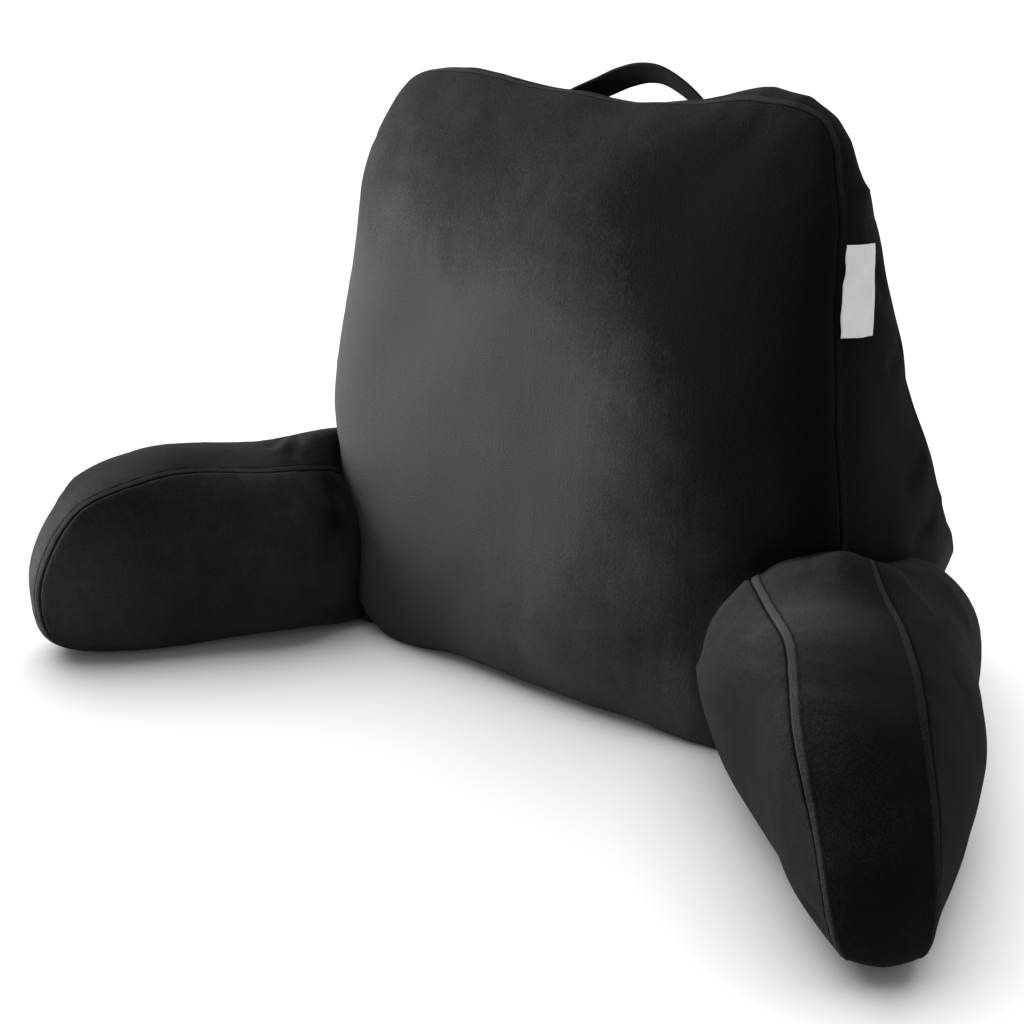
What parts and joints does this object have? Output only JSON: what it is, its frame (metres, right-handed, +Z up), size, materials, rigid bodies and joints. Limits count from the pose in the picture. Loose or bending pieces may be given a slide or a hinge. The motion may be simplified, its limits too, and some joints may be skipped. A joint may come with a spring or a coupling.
{
  "type": "reading pillow with arms",
  "caption": "Stuffed velvet back-rest pillow that stands on a flat underside, with two splayed stuffed arms, a carrying strap on its top edge and a bare tag in a side seam.",
  "frame": {"origin": "on the surface that the pillow stands on, at the middle of the back's flat underside", "axes": "+Z up; -Y is the way the sitter faces, and the arms reach towards it; +X is to the right seen from the front; the longest extent, from arm to arm, is along X"},
  "size_m": [0.8132, 0.4792, 0.4766],
  "materials": {
    "velvet": "short-pile charcoal velvet",
    "strap": "folded velvet band",
    "tag": "bare satin ribbon"
  },
  "bodies": {
    "root": {"backrest": "velvet", "arm_left": "velvet", "arm_right": "velvet", "carry_handle": "strap", "side_tag": "tag"}
  },
  "joints": []
}
